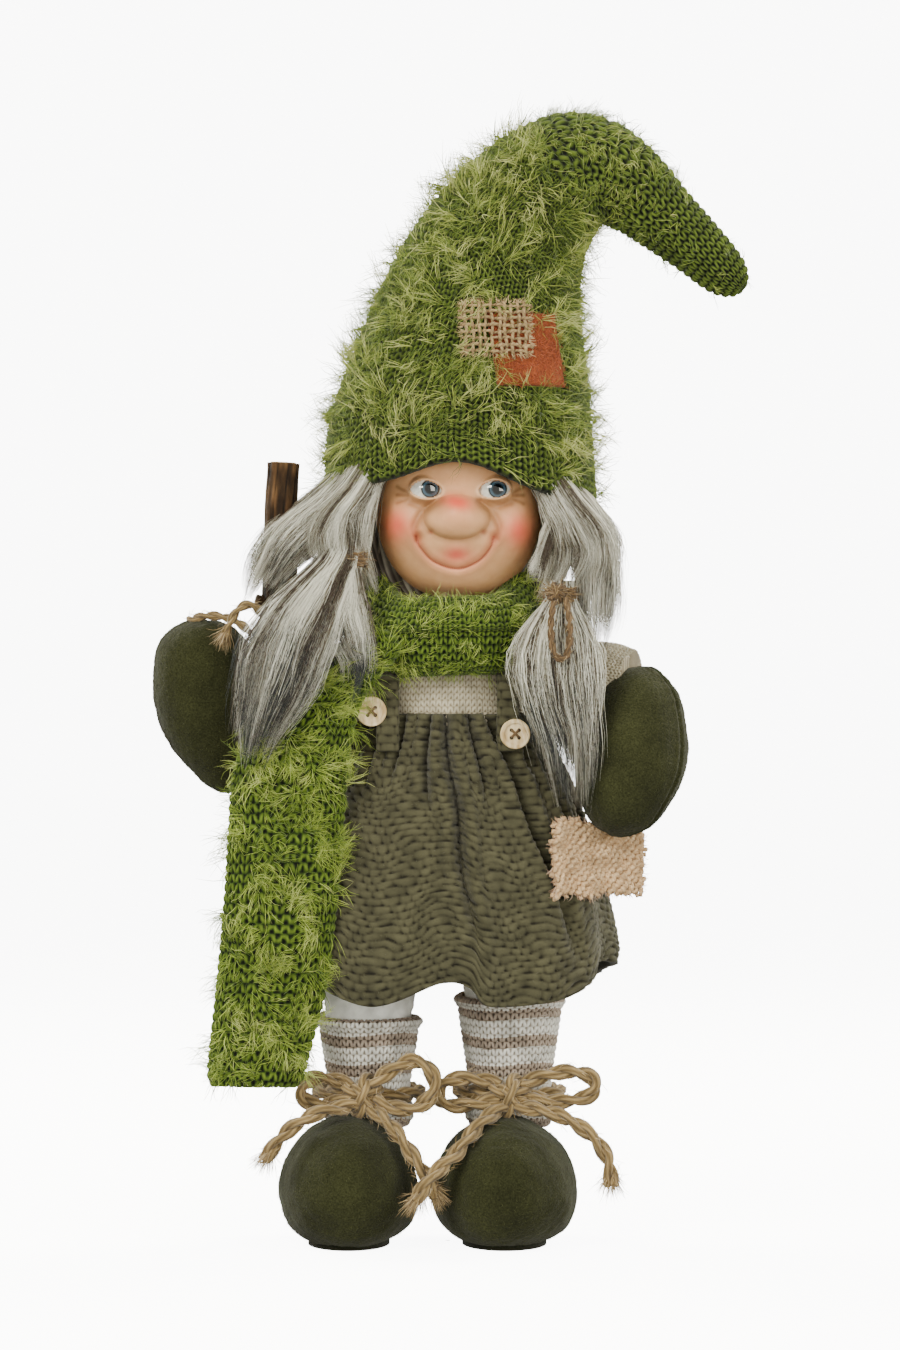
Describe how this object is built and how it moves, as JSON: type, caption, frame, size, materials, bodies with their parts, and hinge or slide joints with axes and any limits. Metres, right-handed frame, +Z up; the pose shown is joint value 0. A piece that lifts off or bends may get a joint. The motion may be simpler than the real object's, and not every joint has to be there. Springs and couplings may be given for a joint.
{
  "type": "gnome_figurine",
  "caption": "Standing tomte gnome doll with a tall fuzzy knitted hat, long scarf, felt mittens and shoes, twine bows and a walking stick",
  "frame": {"origin": "on the floor, under the middle of the figure's bounding box", "axes": "+Z up, the face looks along -Y, the figure's own left side is +X"},
  "size_m": [0.2393, 0.1112, 0.4498],
  "materials": {
    "dowel_wood": "matte",
    "leg_cloth": "matte",
    "sock_knit": "matte",
    "shoe_felt": "matte",
    "sole_board": "matte",
    "ballast": "matte",
    "stuffing": "matte",
    "wire": "satin",
    "sweater_knit": "matte",
    "dress_knit": "matte",
    "button_wood": "satin",
    "burlap": "matte",
    "bark": "matte",
    "jute": "matte",
    "face_resin": "satin",
    "eye_gloss": "gloss",
    "hair_fur": "matte",
    "fuzzy_yarn": "matte",
    "patch_felt": "matte"
  },
  "bodies": {
    "figure": {"leg_rod_right": "dowel_wood", "leg_rod_left": "dowel_wood", "leg_right": "leg_cloth", "leg_left": "leg_cloth", "sock_right": "sock_knit", "sock_left": "sock_knit", "shoe_right": "shoe_felt", "shoe_left": "shoe_felt", "shoe_sole_right": "sole_board", "shoe_sole_left": "sole_board", "base_panel": "sole_board", "ballast_bag": "ballast", "body_core": "stuffing", "neck_dowel": "dowel_wood", "shoulder_wire": "wire", "sweater_body": "sweater_knit", "dress_skirt": "dress_knit", "dress_strap_right": "dress_knit", "dress_strap_left": "dress_knit", "buttons": "button_wood", "pocket_patch": "burlap", "face_shell": "face_resin", "head_core": "stuffing", "eye_right": "eye_gloss", "eye_left": "eye_gloss", "hair_cap": "hair_fur", "hat_stuffing": "stuffing", "hat_body": "fuzzy_yarn", "felt_patch": "patch_felt", "burlap_patch": "burlap", "scarf_wrap": "fuzzy_yarn", "scarf_tail_top": "fuzzy_yarn", "ankle_tie_right": "jute", "ankle_tie_left": "jute", "bow_right_loop_inner": "jute", "bow_right_loop_outer": "jute", "bow_right_tail_outer": "jute", "bow_right_tail_inner": "jute", "bow_left_loop_outer": "jute", "bow_left_loop_inner": "jute", "bow_left_tail_outer": "jute", "bow_left_tail_inner": "jute"},
    "arm_right": {"sleeve_right": "sweater_knit", "arm_wire_right": "wire", "mitten_right": "shoe_felt", "stick_tie": "jute", "hand_twine_loop": "jute", "hand_twine_end": "jute"},
    "arm_left": {"sleeve_left": "sweater_knit", "arm_wire_left": "wire", "mitten_left": "shoe_felt"},
    "stick": {"stick": "bark"},
    "hat_tip": {"hat_tip": "fuzzy_yarn", "hat_tip_wire": "wire"},
    "pigtail_right": {"pigtail_right": "hair_fur", "hair_tie_right": "jute"},
    "pigtail_left": {"pigtail_left": "hair_fur", "hair_tie_left": "jute", "hair_twine_loop_left": "jute"},
    "scarf_tail": {"scarf_tail": "fuzzy_yarn"}
  },
  "joints": [
    {"name": "arm_right_sweep", "type": "hinge", "parent": "figure", "child": "arm_right", "pos_m": [-0.042, 0.002, 0.222], "axis": [0, 0, -1], "range_deg": [0, 30]},
    {"name": "arm_left_raise", "type": "hinge", "parent": "figure", "child": "arm_left", "pos_m": [0.042, 0.002, 0.222], "axis": [0, -1, 0], "range_deg": [0, 30]},
    {"name": "stick_slide", "type": "slide", "parent": "arm_right", "child": "stick", "axis": [0.0492, 0, 0.9988], "range_m": [0, 0.03]},
    {"name": "hat_tip_bend", "type": "hinge", "parent": "figure", "child": "hat_tip", "pos_m": [0.062, 0.002, 0.426], "axis": [0, -1, 0], "range_deg": [-20, 30]},
    {"name": "pigtail_right_swing", "type": "hinge", "parent": "figure", "child": "pigtail_right", "pos_m": [-0.039, -0.03, 0.274], "axis": [-1, 0, 0], "range_deg": [0, 35]},
    {"name": "pigtail_left_swing", "type": "hinge", "parent": "figure", "child": "pigtail_left", "pos_m": [0.045, -0.03, 0.26], "axis": [-1, 0, 0], "range_deg": [0, 35]},
    {"name": "scarf_tail_swing", "type": "hinge", "parent": "figure", "child": "scarf_tail", "pos_m": [-0.063, -0.0295, 0.1825], "axis": [-1, 0, 0], "range_deg": [0, 25]}
  ]
}
